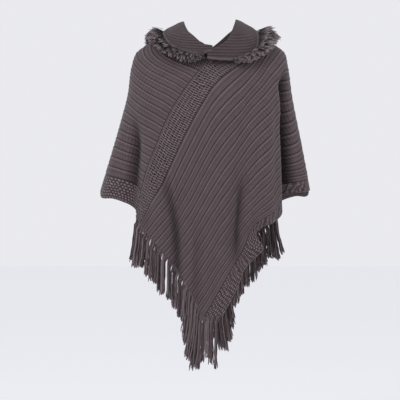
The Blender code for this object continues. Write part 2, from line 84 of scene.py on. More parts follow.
MOSS_SOFTNESS = (0.60, 0.62)  # along the cloth and across it, as shares of a pitch and a row
LACE_PITCH = 0.0068  # one hole of the open-work band, along the cloth
LACE_COLUMN = 0.0086
LACE_DRIFT = 0.010
LACE_SOFTNESS = (0.46, 0.72)
LACE_SLANT = 0.35  # of a pitch, across one column
LACE_REACH = (0.20, 0.28, 0.62, 0.74)  # lengths at which the open work starts, is full, fades and is gone
LACE_LEAST = 0.70  # how clear the pattern is outside the open work
SELVEDGE = 0.005  # plain strip between the open work and the seam
SELVEDGE_FADE = 0.002
HEM_ROLL = 0.005
HEM_HEIGHT = 0.0018
HEM_TONE = 0.60
STITCH_WIDTH = 0.0042
STITCH_LENGTH = 0.0044
SEAM_GAP = 0.0004
PANEL_ROWS = 401
BAND_STEPS = 14
INNER_STEP = 4  # every fourth line of the outer side is kept on the inner one

AZIMUTH_STEP = 0.5  # short ways over the cloth that give the directions along it
DROP_STEP = 0.002

# The plain drape, as rings around the neck axis
RING_COLUMNS = ("drop", "right", "left", "front", "back", "square", "side_z", "front_z", "back_z")
RINGS = (
    (0.00, 0.118, 0.118, 0.078, 0.086, 2.0, 0.030, -0.030, -0.012),
    (0.05, 0.160, 0.158, 0.110, 0.112, 2.2, 0.018, -0.077, -0.058),
    (0.09, 0.197, 0.193, 0.127, 0.122, 2.3, 0.001, -0.115, -0.097),
    (0.12, 0.219, 0.216, 0.136, 0.127, 2.4, -0.017, -0.145, -0.127),
    (0.16, 0.228, 0.229, 0.145, 0.132, 2.5, -0.052, -0.185, -0.167),
    (0.25, 0.240, 0.242, 0.152, 0.138, 2.6, -0.141, -0.275, -0.257),
    (0.35, 0.259, 0.268, 0.155, 0.142, 2.6, -0.239, -0.375, -0.357),
    (0.45, 0.279, 0.296, 0.157, 0.146, 2.6, -0.335, -0.475, -0.457),
    (0.55, 0.298, 0.325, 0.160, 0.150, 2.6, -0.430, -0.575, -0.557),
    (0.80, 0.330, 0.370, 0.166, 0.158, 2.6, -0.670, -0.825, -0.807),
)

# The largest folds are those of the solids. The creases are narrower, and lie between and in them.
FOLD_FADE = 0.1  # the drop over which a fold ends
FOLD_SETTLED = 0.6  # the drop from which a fold turns no further
FOLD_COLUMNS = (
    "top_azimuth", "low_azimuth", "half_width", "start_drop", "end_drop", "depth", "slide", "rise",
)
FOLD_RISE = 0.14  # the drop over which a fold sets in, if its row doesn't give it
FOLDS = (
    (67, 60, 9, 0.15, 0.90, -0.026, 0),
    (54, 48, 9, 0.10, 0.90, 0.010, 0.004),
    (38, 41, 8, 0.36, 0.66, 0.007, -0.006),
    (33, 25, 8, 0.26, 0.66, -0.014, 0),
    (4, 8, 16, 0.30, 0.90, 0.006, 0),
    (-33, -32, 7, 0.34, 0.72, -0.013, 0),
    (-50, -46, 8, 0.24, 0.64, 0.010, 0),
    (-66, -62, 8, 0.22, 0.90, -0.018, 0),
    (247, 240, 9, 0.15, 0.90, -0.024, 0),
    (232, 228, 9, 0.12, 0.90, 0.010, 0.004),
    (216, 222, 8, 0.38, 0.66, 0.007, -0.006),
    (208, 204, 8, 0.28, 0.70, -0.013, 0),
    (182, 186, 15, 0.34, 0.90, 0.006, 0),
    (149, 151, 7, 0.32, 0.74, -0.012, 0),
    (131, 134, 8, 0.22, 0.62, 0.009, 0),
    (113, 117, 8, 0.20, 0.90, -0.016, 0),
)
CREASES = (
    (70.5, 64.5, 4.6, 0.13, 0.90, -0.030, 0, 0.07),  # the sharp bottom of the fold before the left arm
    (63, 57.0, 3.6, 0.15, 0.90, 0.010, 0.003, 0.09),  # and the lip that hangs over it
    (75, 64.0, 2.6, 0.15, 0.80, -0.008, 0, 0.07),  # the arm's side of it
    (51, 46.0, 5.0, 0.40, 0.70, 0.010, 0.004, 0.08),  # flap at the hem
    (53, 47, 4.5, 0.11, 0.50, 0.006, 0, 0.09),
    (32, 25, 4.0, 0.36, 0.64, -0.008, 0, 0.08),
    (40, 33, 4.0, 0.32, 0.62, 0.005, 0, 0.10),
    (20, 14, 5.0, 0.40, 0.75, 0.003, 0, 0.12),
    (-12, -14, 5.0, 0.48, 0.80, -0.003, 0, 0.10),
    (-24, -23, 4.0, 0.42, 0.70, 0.004, 0, 0.10),
    (-46, -31, 3.8, 0.30, 0.72, -0.009, 0, 0.10),
    (-45, -41, 4.0, 0.30, 0.60, 0.005, 0, 0.10),
    (-66, -61.0, 4.0, 0.24, 0.60, -0.015, 0, 0.10),
    (-54, -53, 3.4, 0.40, 0.58, -0.004, 0, 0.07),
    (78, 77, 4.5, 0.30, 0.60, 0.005, 0, 0.12),
    (88, 91, 4.0, 0.38, 0.62, -0.005, 0, 0.12),
    (-80, -78, 5.0, 0.34, 0.62, 0.004, 0, 0.12),
    (-95, -99, 4.5, 0.30, 0.60, -0.005, 0, 0.12),
    (248, 242, 4.0, 0.15, 0.90, -0.018, 0, 0.08),
    (230, 226, 4.5, 0.14, 0.52, 0.006, 0, 0.10),
    (207, 204, 4.2, 0.36, 0.68, -0.007, 0, 0.09),
    (194, 197, 5.0, 0.44, 0.78, 0.003, 0, 0.12),
    (168, 166, 5.0, 0.46, 0.76, -0.003, 0, 0.10),
    (150, 151, 3.8, 0.38, 0.72, -0.008, 0, 0.09),
    (136, 139, 4.0, 0.30, 0.60, 0.005, 0, 0.10),
    (114, 118, 4.4, 0.24, 0.60, -0.009, 0, 0.10),
)

# Painted shade in the creases: the cloth's tone is darkened by how deep they sink
CREASE_SHADE_DEPTH = 0.022
CREASE_PAINTED_SHADE = 0.60  # how much darker the cloth is painted in a crease as deep as that: painted shade in the creases

# Edges of the panel over the left shoulder, as places on the drape. The other panel is half a turn on.
EDGE_COLUMNS = ("share", "azimuth", "drop")
SEAM = (
    (0.00, -2.0, 0.000),
    (0.16, -23.0, 0.080),
    (0.33, -35.0, 0.150),
    (0.50, -44.0, 0.228),
    (0.65, -49.5, 0.303),
    (0.79, -54.0, 0.377),
    (0.90, -57.5, 0.442),
    (1.00, -61.0, 0.502),
)
END = (
    (0.00, 12.5, 0.763),
    (0.11, -6.0, 0.764),
    (0.22, -13.0, 0.727),
    (0.41, -26.0, 0.657),
    (0.59, -39.5, 0.600),
    (0.80, -51.5, 0.543),
    (0.92, -57.5, 0.523),
    (1.00, -61.0, 0.502),
)
HEM = (
    (0.00, 119.0, 0.502),
    (0.08, 113.5, 0.500),
    (0.16, 107.0, 0.512),
    (0.25, 98.0, 0.545),
    (0.33, 87.5, 0.545),
    (0.39, 77.0, 0.512),
    (0.44, 69.0, 0.489),
    (0.49, 62.5, 0.488),
    (0.535, 58.5, 0.508),
    (0.595, 50.0, 0.519),
    (0.63, 44.5, 0.522),
    (0.655, 41.0, 0.534),
    (0.685, 42.0, 0.557),
    (0.72, 44.0, 0.583),
    (0.76, 40.0, 0.605),
    (0.815, 32.0, 0.635),
    (0.875, 27.0, 0.676),
    (1.00, 12.5, 0.763),
)

# Where the panel passes from the back to the front: over the shoulder, then down the fold before the arm.
CROSSING_COLUMNS = ("share", "azimuth", "drop", "length_share")
CROSSING = (  # from the hem to the neck
    (0.00, 62.5, 0.488, 0.490),
    (0.11, 63.0, 0.448, 0.450),
    (0.30, 61.5, 0.358, 0.412),
    (0.50, 65.0, 0.223, 0.364),
    (0.65, 70.0, 0.133, 0.322),
    (0.80, 82.5, 0.062, 0.265),
    (1.00, 92.0, 0.000, 0.200),
)
BEND = (  # how far the ribs stray between the seam behind and the crossing, half way from hem to neck
    (0.00, 0.0, 0.000),
    (0.15, 1.5, -0.005),
    (0.30, -1.5, 0.000),
    (0.45, -7.0, 0.018),
    (0.60, -10.0, 0.034),
    (0.80, -7.0, 0.027),
    (1.00, 0.0, 0.000),
)
EDGE_HOLD = 3  # how soon the ribs straighten out, away from the neck, the seam and the hem
CORNER_REACH = 0.8  # how far the bend at the neck's corner spreads, for each step away from the edge
TURN_ROUNDING = 0.07  # length_share over which the ribs' turn at the crossing is rounded off
TURN_SPREAD = 0.12

# Fringe: tassels of several yarns along a panel's end
TASSELS = 40
END_MARGIN = 0.018
END_PROBE = 0.004  # a short way along the end, as a share of it
ROOT_LIFT = 0.6  # of the wall's thickness
ROOT_REACH = 0.003
YARNS = 12
YARN_RADIUS = 0.0015
YARN_RINGS = 13
YARN_SIDES = 4
YARN_TONES = (0.22, 1.00)
YARN_SHORTEST = 0.10  # the share by which a yarn may be shorter than its tassel
KNOT_RADII = (0.0016, 0.0034, 0.0030, 0.0018)
CORD_RADIUS = 0.0022
CORD_POINTS = 120
CORD_SIDES = 8
CORD_TONE = 0.55
TASSEL_RADIUS = 0.0056
TASSEL_TURN = 0.012
TASSEL_STAGGER = 0.0038
TASSEL_COLUMNS = ("share", "length", "lean")
TASSEL_SIZES = (
    (0.00, 0.150, 0.000),
    (0.06, 0.122, 0.002),
    (0.13, 0.150, 0.010),
    (0.20, 0.178, 0.018),
    (0.28, 0.150, 0.014),
    (0.36, 0.117, 0.006),
    (0.60, 0.106, 0.003),
    (0.85, 0.108, 0.012),
    (1.00, 0.136, 0.040),
)

# Hood: one half from the front edge round to the seam at the back
HOOD_COLUMNS = (
    "azimuth", "roll_reach", "roll_z", "rim_reach", "rim_z", "pouch_drop", "fur_reach", "fur_z",
)
HOOD_BEHIND = (  # the rows that both halves share
    (150, 0.099, 0.041, 0.182, -0.022, 0.15, 0.227, -0.050),
    (166, 0.101, 0.019, 0.185, -0.038, 0.21, 0.227, -0.065),
    (180, 0.102, 0.001, 0.186, -0.042, 0.23, 0.227, -0.070),
)
LEFT_HOOD = (
    (-4, 0.112, -0.026, 0.119, -0.041, 0.00, 0.130, -0.056),
    (10, 0.115, -0.011, 0.123, -0.045, 0.00, 0.136, -0.058),
    (26, 0.104, 0.007, 0.128, -0.046, 0.00, 0.148, -0.058),
    (40, 0.094, 0.028, 0.140, -0.043, 0.00, 0.172, -0.044),
    (52, 0.087, 0.052, 0.150, -0.030, 0.00, 0.192, -0.028),
    (65, 0.082, 0.070, 0.152, -0.004, 0.00, 0.203, -0.001),
    (88, 0.078, 0.083, 0.140, 0.048, 0.00, 0.209, 0.036),
    (110, 0.086, 0.078, 0.152, 0.036, 0.00, 0.213, 0.016),
    (130, 0.093, 0.063, 0.168, 0.010, 0.05, 0.222, -0.016),
) + HOOD_BEHIND
RIGHT_HOOD = (
    (-4, 0.084, -0.004, 0.101, -0.018, 0.00, 0.110, -0.033),
    (10, 0.094, 0.000, 0.110, -0.026, 0.00, 0.124, -0.044),
    (22, 0.097, 0.011, 0.122, -0.027, 0.00, 0.138, -0.053),
    (36, 0.091, 0.026, 0.131, -0.020, 0.00, 0.157, -0.044),
    (50, 0.086, 0.043, 0.147, -0.004, 0.00, 0.177, -0.022),
    (66, 0.082, 0.062, 0.146, 0.024, 0.00, 0.189, 0.010),
    (88, 0.079, 0.077, 0.139, 0.048, 0.00, 0.192, 0.038),
    (110, 0.086, 0.076, 0.152, 0.036, 0.00, 0.206, 0.018),
    (130, 0.093, 0.062, 0.168, 0.010, 0.05, 0.220, -0.014),
) + HOOD_BEHIND
HOOD_WALL = 0.003
HOOD_OVERLAP = 0.014  # how far the left half stands before the right one in front
OVERLAP_FADE = 30  # degrees
HOOD_STATIONS = 241
HOOD_ROWS = 85
BACK_SEAM_TURN = 0.02
POUCH_LIFT = 0.016
POUCH_SHALLOW = 0.03
FALL_CROWN = 0.05
FALL_COLUMNS = ("place", "drop_share", "fall_share", "turn_out")
FALL_KNOTS = (
    (1.40, 0.25, 0.20, 0),
    (1.95, 0.60, 0.40, 0),
    (2.55, 1.00, 0.60, 0),
    (2.85, 1.00, 0.75, 0.9),
)
RIM_PLACE = 3.70
HOOD_TURN_LENGTH = 0.0026  # of the hood's cloth, for each degree around the neck
HOOD_ROW_LENGTH = 0.03  # of the hood's cloth, for each whole place from the neck to the rim
HOOD_RIB = 0.0064  # one fine rib
FINE_TONE = 0.36
WELTS = 7  # ribs along the rim, behind
WELT_START = 0.36  # share of the pouch's fall at which they take over from the fine ribs
WELT_TOP = 0.035  # height at which they take over on the lapels
WELT_PITCH = 0.0094
WELT_FADES = (0.004, 0.04)  # in height on the lapels, and in share of the pouch's fall
WELT_HEIGHT = 0.0020
WELT_ROUNDNESS = 0.4
WELT_TONES = (0.04, 0.42)  # between two welts, and what a welt's top adds: the dark tone between welts is painted shade
WELT_FOLLOW = 0.4  # how far the lapels' welts bend to follow the rim, near it
POUCH_FROM = 95  # degrees from the front at which the welts start to follow the rim
POUCH_FADE = 30
RIM_ROLL = 0.0038
RIM_SIDES = 10
RIM_TONE = 0.62
RIM_KNIT_WIDTH = 0.2  # the rim's place across the knit's pattern

# Fur
FUR_START = {"left": 30, "right": 9}
FUR_PAINTED_LIGHT = {"fur_left": 0.16, "fur_right": 0.0}  # how much paler the hairs are painted on each half: painted light on the same fur as the other half
FUR_STATIONS = 60
FUR_ROOT = 0.003  # from the rim
FUR_CORE = 0.62  # dense underfur, as a share of the strip
FUR_HALF_THICKNESS = 0.009
CORE_SIDES = 12
# dark underfur: partly its own colour, partly painted shade in the fur's depth
CORE_TONE = 0.10
FUR_CLUMPS = 560
CLUMP_ANGLES = (-2.2, 2.8)  # radians round the strip's section, 0 at its outer edge
CLUMP_TONES = (-0.28, 0.20)
CLUMP_SIZES = (0.80, 1.15)
CLUMP_HAIRS = 15
ROOT_SCATTER = 0.0026
TIP_SCATTER = 0.0010
HAIR_SAG = 0.18  # of a hair's length
HAIR_BULGE = 0.08
HAIR_RADIUS = 0.0008
HAIR_TAPER = 0.25
HAIR_RINGS = 4
HAIR_SIDES = 3
HAIR_TONES = (-0.15, 1.08)  # root and tip: partly the fur's own pale tips, partly painted shade at the roots

# Yarn and hair colours by tone
KNIT_TONES = (
    (0.00, (0.013, 0.009, 0.010)),
    (0.35, (0.056, 0.040, 0.043)),
    (0.60, (0.106, 0.078, 0.083)),
    (1.00, (0.230, 0.180, 0.190)),
)
FUR_TONES = (
    (0.00, (0.010, 0.006, 0.008)),
    (0.40, (0.060, 0.042, 0.048)),
    (0.75, (0.175, 0.132, 0.143)),
    (1.00, (0.400, 0.330, 0.335)),
)
# name, (roughness, sheen and its roughness), tones, stray tones, scale of the grain, bump
YARN = ("poncho_yarn", (0.92, 0.12, 0.5), KNIT_TONES, (520.0, 0.45, 2.0), 1100.0, (0.5, 0.0006))
FUR = ("poncho_fur", (0.7, 0.25, 0.4), FUR_TONES, (45.0, 0.35), 700.0, (0.3, 0.0005))
PATTERNS = {  # tone where dark, tone where light, relief
    "moss": (0.10, 1.06, 2.0),
    "lace": (-0.55, 0.84, 3.0),
    "fine": (0.42, 0.26, -1.0),
}

# Camera, stage and lights
CAMERA_DISTANCE = 4.0
FRAME_WIDTH = 1.2
CAMERA_X = -0.03
CAMERA_Z = -0.456
FLOOR_Z = -1.35
FLOOR_REACH = 14.0
FLOOR_COLOUR = (0.86, 0.86, 0.88, 1.0)
FLOOR_GLOW = 0.10
STUDIO_COLOUR = (0.82, 0.82, 0.86, 1.0)
LIGHT_COLUMNS = ("place", "aim", "size", "power")
LIGHTS = {
    "key": ((-1.8, -2.8, 2.2), (0, 0, -0.4), (1.4, 1.4), 40),
    "side": ((2.8, -1.6, 0.6), (0, 0, -0.5), (1.2, 2.0), 8),
}


def along(places, values, at):
    """The values at the places asked for, on a smooth curve through the rows of a table."""
    places = np.asarray(places, float)
    values = np.asarray(values, float)
    slopes = np.gradient(values, places)
    row = np.clip(np.searchsorted(places, at, side="right") - 1, 0, len(places) - 2)
    step = places[row + 1] - places[row]
    t = np.clip((at - places[row]) / step, 0.0, 1.0)
    start = values[row] * (1 + 2 * t) * (1 - t) ** 2 + slopes[row] * step * t * (1 - t) ** 2
    end = values[row + 1] * t * t * (3 - 2 * t) + slopes[row + 1] * step * t * t * (t - 1)
    return start + end


def read(table, names, at):
    """Every column of a table at the places asked for, by name. The first column holds the places."""
    columns = np.array(table, float).T
    return {name: along(columns[0], columns[k], at) for k, name in enumerate(names) if k}


def ease(t):
    """0 before 0, 1 after 1 and smooth between."""
    t = np.clip(t, 0.0, 1.0)
    return t * t * (3 - 2 * t)


def bell(distance, width):
    """1 at no distance, falling to 0 on both sides."""
    return np.exp(-((distance / width) ** 2))


def unit(vectors):
    return vectors / np.linalg.norm(vectors, axis=-1, keepdims=True)


def polar(azimuth, reach, height):
    angle = np.radians(azimuth)
    return np.stack([reach * np.sin(angle), -reach * np.cos(angle), height + 0 * angle], axis=-1)


def plain_drape(azimuth, drop):
    """Points of the cloth's inner side, before its folds."""
    azimuth, drop = np.broadcast_arrays(np.asarray(azimuth, float), drop)
    ring = read(RINGS, RING_COLUMNS, drop)
    across = np.sin(np.radians(azimuth))
    ahead = np.cos(np.radians(azimuth))
    half_width = np.where(across > 0, ring["right"], ring["left"])
    half_depth = np.where(ahead > 0, ring["front"], ring["back"])
    square = ring["square"]
    reach = (np.abs(across / half_width) ** square + np.abs(ahead / half_depth) ** square) ** (-1 / square)
    towards_end = np.abs(reach * ahead / half_depth) ** 1.5
    end_z = np.where(ahead > 0, ring["front_z"], ring["back_z"])
    height = ring["side_z"] + (end_z - ring["side_z"]) * towards_end
    return np.stack([reach * across, -reach * ahead, height], axis=-1)


def fold_moves(azimuth, drop, rows=FOLDS + CREASES):
    """How far the folds and creases move each place out of the cloth and along it."""
    azimuth, drop = np.broadcast_arrays(azimuth, drop)
    out = np.zeros(azimuth.shape)
    aside = np.zeros_like(out)
    for row in rows:
        fold = {"rise": FOLD_RISE, **dict(zip(FOLD_COLUMNS, row))}
        below = drop - fold["start_drop"]
        turned = ease(below / (min(fold["end_drop"], FOLD_SETTLED) - fold["start_drop"]))
        middle = fold["top_azimuth"] + (fold["low_azimuth"] - fold["top_azimuth"]) * turned
        away = ((azimuth - middle + 180) % 360 - 180) / (2 * fold["half_width"])
        hill = 0.5 + 0.5 * np.cos(np.pi * np.clip(away, -1, 1))
        strength = hill * ease(below / fold["rise"]) * ease((fold["end_drop"] - drop) / FOLD_FADE)
        out += fold["depth"] * strength
        aside += fold["slide"] * strength
    return out, aside


def drape(azimuth, drop):
    """Points of the cloth's inner side, with its folds and creases."""
    point = plain_drape(azimuth, drop)
    nearby = plain_drape(np.asarray(azimuth) + AZIMUTH_STEP, drop)
    sideways = unit((nearby - point) * (1, 1, 0))
    level = np.zeros_like(sideways[..., 0])
    outward = np.stack([sideways[..., 1], -sideways[..., 0], level], axis=-1)
    out, aside = fold_moves(azimuth, drop)
    return point + outward * out[..., None] + sideways * aside[..., None]


def with_out(surface, azimuth, drop):
    """Points of the plain drape or the drape, and the directions out of it."""
    point = surface(azimuth, drop)
    around = surface(azimuth + AZIMUTH_STEP, drop) - point
    down = surface(azimuth, drop + DROP_STEP) - point
    return point, unit(np.cross(down, around))


def edge(table, share):
    place = read(table, EDGE_COLUMNS, share)
    return np.stack([place["azimuth"], place["drop"]], axis=-1)


def panel_top(length_share):
    """The long edge by the neck: half way round the neck, then down the seam."""
    corner = NECK_LENGTH / PANEL_LENGTH
    neck = np.stack([178.0 - 180.0 * length_share / corner, np.zeros(length_share.shape)], axis=-1)
    down_seam = edge(SEAM, (length_share - corner) / (1 - corner))
    return np.where((length_share < corner)[..., None], neck, down_seam)


def straight(first, last, share):
    return (1 - share)[..., None] * first + share[..., None] * last


def half_panel(share, width_share, first, last, hem, top):
    """(azimuth, drop) on the stretch of a panel between two cross lines.

    Ribs run straight from the first line to the last one, and bend near the hem and the top to follow
    them.
    """
    place = straight(first(width_share), last(width_share), share)
    for side, corner, nearness in ((hem, 0.0, 1 - width_share), (top, 1.0, width_share)):
        reach = np.minimum(np.minimum(share, 1 - share), CORNER_REACH * (1 - nearness))
        nearby = [share + reach * step for step in np.linspace(-1, 1, 9)]
        bends = [side(at) - straight(first(corner), last(corner), at) for at in nearby]
        place = place + (nearness**EDGE_HOLD)[..., None] * np.mean(bends, axis=0)
    return place


def sharp_place(u, v):
    """panel_place, before the ribs' turn at the crossing is rounded off."""
    crossing = read(CROSSING, CROSSING_COLUMNS, v)["length_share"]
    hem_crossing, top_crossing = CROSSING[0][-1], CROSSING[-1][-1]
    share_behind = np.clip(u / crossing, 0, 1)
    behind = half_panel(
        share_behind,
        v,
        first=lambda share: edge(SEAM, 1 - share) + (180.0, 0.0),
        last=lambda share: edge(CROSSING, share),
        hem=lambda share: edge(HEM, share * hem_crossing),
        top=lambda share: panel_top(share * top_crossing),
    )
    behind = behind + (4 * v * (1 - v))[..., None] * edge(BEND, share_behind)
    ahead = half_panel(
        np.clip((u - crossing) / (1 - crossing), 0, 1),
        v,
        first=lambda share: edge(CROSSING, share),
        last=lambda share: edge(END, share),
        hem=lambda share: edge(HEM, hem_crossing + share * (1 - hem_crossing)),
        top=lambda share: panel_top(top_crossing + share * (1 - top_crossing)),
    )
    return np.where((u < crossing)[..., None], behind, ahead)


def panel_place(length_share, width_share):
    """(azimuth, drop) of a place on the panel over the left shoulder.

    length_share runs from the seam on the back to the fringed end, and width_share from the hem to the
    neck.
    """
    u, v = np.broadcast_arrays(length_share, width_share)
    crossing = read(CROSSING, CROSSING_COLUMNS, v)["length_share"]
    reach = TURN_ROUNDING * bell(u - crossing, TURN_SPREAD) * np.sqrt(4 * v * (1 - v))
    reach = np.minimum(reach, np.minimum(u, 1 - u))
    return np.mean([sharp_place(u + reach * step, v) for step in np.linspace(-1, 1, 7)], axis=0)


def panel_points(turn, length_share, width_share):
    """Points of a panel's inner side and the directions out of them. turn is 0 or 180."""
    place = panel_place(length_share, width_share)
    return with_out(drape, place[..., 0] + turn, np.maximum(place[..., 1], 0.0))


def panel_widths():
    """Widths of the cloth's lines, closest at each rib's groove and in the bands."""
    band = list(np.linspace(0, BAND_WIDTH, BAND_STEPS + 1)[:-1])
    ribs = [BAND_WIDTH + RIB_PITCH * (rib + step) for rib in range(RIB_COUNT) for step in RIB_STEPS]
    last = list(np.linspace(PANEL_WIDTH - BAND_WIDTH, PANEL_WIDTH, BAND_STEPS + 1))
    return np.array(band + ribs + last)


def rib_relief(width):
    """Height and tone of the wide ribs: a groove, a raised edge beside it and a faint line beyond. The
    groove and the faint line are darkened with painted shade, and the raised edge is lightened with a
    painted highlight.
    """
    before = (1 - (width - BAND_WIDTH) / RIB_PITCH % 1.0) * RIB_PITCH
    groove = bell(np.minimum(before, RIB_PITCH - before), GROOVE_WIDTH)
    lip = bell(before - LIP_PLACE, LIP_WIDTH)
    faint = bell(before - FAINT_PLACE, FAINT_WIDTH)
    height = RIB_HEIGHT * (1 - groove) + LIP_HEIGHT * lip - FAINT_DEPTH * faint
    # the tone: painted shade in the groove and the faint line, painted highlight on the lip
    return height, RIB_TONE - GROOVE_SHADE * groove + LIP_LIGHT * lip - FAINT_SHADE * faint


def knit_relief(length, width):
    """Height of the knit over the plain cloth, its tone, and how far it is moss stitch and lace."""
    height, tone = rib_relief(width)
    in_band = (width < BAND_WIDTH) | (width > PANEL_WIDTH - BAND_WIDTH)
    height = np.where(in_band, BAND_HEIGHT, height)
    tone = np.where(in_band, BAND_TONE, tone)
    start, full, last, gone = LACE_REACH
    open_work = ease((length - start) / (full - start)) * ease((gone - length) / (gone - last))
    strip = ease((width - (PANEL_WIDTH - SELVEDGE)) / SELVEDGE_FADE)
    from_edge = np.minimum(width, PANEL_WIDTH - width)
    roll = ease(1 - from_edge / HEM_ROLL)
    rounded = HEM_HEIGHT * np.sqrt(1 - np.clip(1 - from_edge / HEM_ROLL, 0, 1) ** 2)
    height = height + (rounded - height) * roll
    tone = tone + (HEM_TONE - tone) * np.maximum(roll, strip)
    patterned = in_band * (1 - strip) * (1 - roll)
    lace = patterned * (LACE_LEAST + (1 - LACE_LEAST) * open_work)
    low = width < BAND_WIDTH
    return height, tone, patterned * low, lace * ~low


def grid_quads(index, closed=False):
    """Quads between the rows and columns of vertex grids, also from the last column to the first."""
    if closed:
        index = np.append(index, index[..., :1], axis=-1)
    corners = [index[..., :-1, :-1], index[..., :-1, 1:], index[..., 1:, 1:], index[..., 1:, :-1]]
    return np.stack(corners, axis=-1).reshape(-1, 4)


def wall_faces(rows, columns, step):
    """Faces of a closed wall: a fine outer grid, a coarse inner one with every step-th line, and edges.

    Outer vertices come first, row by row, then inner ones. The last row and column are always kept.
    """
    outer = np.arange(rows * columns).reshape(rows, columns)
    kept_rows = np.unique(np.append(np.arange(0, rows, step), rows - 1))
    kept_columns = np.unique(np.append(np.arange(0, columns, step), columns - 1))
    inner = rows * columns + np.arange(len(kept_rows) * len(kept_columns))
    inner = inner.reshape(len(kept_rows), len(kept_columns))
    faces = grid_quads(outer).tolist() + grid_quads(inner)[:, ::-1].tolist()
    for fine, coarse, kept, flip in (
        (outer[0], inner[0], kept_columns, True),
        (outer[-1], inner[-1], kept_columns, False),
        (outer[:, 0], inner[:, 0], kept_rows, False),
        (outer[:, -1], inner[:, -1], kept_rows, True),
    ):
        for k in range(len(kept) - 1):
            face = fine[kept[k] : kept[k + 1] + 1].tolist() + [int(coarse[k + 1]), int(coarse[k])]
            faces.append(face[::-1] if flip else face)
    return faces, kept_rows, kept_columns


def tubes(paths, radii, sides):
    """Closed tubes along paths (tube, ring, xyz), as points and faces."""
    onward = unit(np.gradient(paths, axis=1))
    helper = np.where(np.abs(onward[..., 2:]) > 0.8, (1.0, 0.0, 0.0), (0.0, 0.0, 1.0))
    aside = unit(np.cross(onward, helper))
    other = np.cross(onward, aside)
    angles = 2 * np.pi * np.arange(sides) / sides
    spokes = aside[:, :, None] * np.cos(angles)[:, None] + other[:, :, None] * np.sin(angles)[:, None]
    points = paths[:, :, None] + radii[:, :, None, None] * spokes
    index = np.arange(points[..., 0].size).reshape(points.shape[:3])
    caps = index[:, 0, ::-1].tolist() + index[:, -1].tolist()
    return points.reshape(-1, 3), grid_quads(index, closed=True).tolist() + caps


def joined(points, faces, more_points, more_faces):
    """The points and faces of two meshes as those of one."""
    moved = [[corner + len(points) for corner in face] for face in more_faces]
    return np.concatenate([points, more_points]), faces + moved


def add_object(name, data):
    thing = bpy.data.objects.new(name, data)
    bpy.context.scene.collection.objects.link(thing)
    return thing


def make_piece(name, points, faces, material, node, tone, places=None, patterns=None):
    """A mesh piece that stands for a CAD node.

    It keeps its tone, its places in the knit as a UV map, and how far each pattern of the knit covers it.
    """
    mesh = bpy.data.meshes.new(name)
    mesh.from_pydata(points.tolist(), [], faces)
    mesh.validate()
    mesh.polygons.foreach_set("use_smooth", [True] * len(mesh.polygons))
    for kind, values in {"tone": tone, **(patterns or {})}.items():
        layer = mesh.attributes.new(kind, "FLOAT", "POINT")
        layer.data.foreach_set("value", values.astype(np.float32))
    if places is not None:
        corners = np.empty(len(mesh.loops), np.int32)
        mesh.loops.foreach_get("vertex_index", corners)
        layer = mesh.uv_layers.new(name="knit")
        layer.data.foreach_set("uv", places[corners].astype(np.float32).ravel())
    mesh.materials.append(material)
    piece = add_object(name, mesh)
    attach(piece, "root")
    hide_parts(node)
    return piece


def panel_rows():
    """Lengths of the cloth's cross lines. One of them meets the corner of the neck."""
    steps = round((PANEL_ROWS - 1) * NECK_LENGTH / PANEL_LENGTH)
    by_neck = np.linspace(0, NECK_LENGTH, steps + 1)[:-1]
    return np.append(by_neck, np.linspace(NECK_LENGTH, PANEL_LENGTH, PANEL_ROWS - steps))


def on_line(points, places, at):
    """Points at the places asked for, on the straight lines between points that have places."""
    return np.stack([np.interp(at, places, points[:, k]) for k in range(3)], axis=-1)


def panel_grids():
    """(inner side, directions out) of both panels, by turn. Each one's start lies along the other's edge."""
    lengths = panel_rows()
    length_shares = lengths[:, None] / PANEL_LENGTH
    width_shares = panel_widths() / PANEL_WIDTH
    inner = {}
    out = {}
    for turn in (0, 180):
        inner[turn], out[turn] = panel_points(turn, length_shares, width_shares[None, :])
    seam_places = (lengths - NECK_LENGTH) / (PANEL_LENGTH - NECK_LENGTH)
    for turn in (0, 180):
        inner[turn][0] = on_line(inner[180 - turn][:, -1], seam_places, 1 - width_shares)
        out[turn][0] = on_line(out[180 - turn][:, -1], seam_places, 1 - width_shares)
        inner[turn][0] += unit(inner[turn][1] - inner[turn][0]) * SEAM_GAP
    return {turn: (inner[turn], out[turn]) for turn in (0, 180)}


def make_panel(name, turn, grid, material, node):
    """One body panel, with its ribs and bands raised in the outer side."""
    inner, out = grid
    place = np.stack(np.broadcast_arrays(panel_rows()[:, None], panel_widths()[None, :]), axis=-1)
    height, tone, moss, lace = knit_relief(place[..., 0], place[..., 1])
    drape_place = panel_place(place[..., 0] / PANEL_LENGTH, place[..., 1] / PANEL_WIDTH)
    # painted shade: the cloth is darkened where the creases sink in, the deeper the darker
    hollow, _ = fold_moves(drape_place[..., 0] + turn, drape_place[..., 1], CREASES)
    tone = tone + CREASE_PAINTED_SHADE * np.clip(hollow / CREASE_SHADE_DEPTH, -1, 0)
    outer = inner + out * (WALL + height)[..., None]
    faces, kept_rows, kept_columns = wall_faces(*height.shape, INNER_STEP)
    kept = np.ix_(kept_rows, kept_columns)
    points = np.concatenate([outer.reshape(-1, 3), inner[kept].reshape(-1, 3)])
    places = np.concatenate([place.reshape(-1, 2), place[kept].reshape(-1, 2)])
    tones, mosses, laces = [np.append(value, value[kept]) for value in (tone, moss, lace)]
    patterns = {"moss": mosses, "lace": laces}
    return make_piece(name, points, faces, material, node, tones, places, patterns)


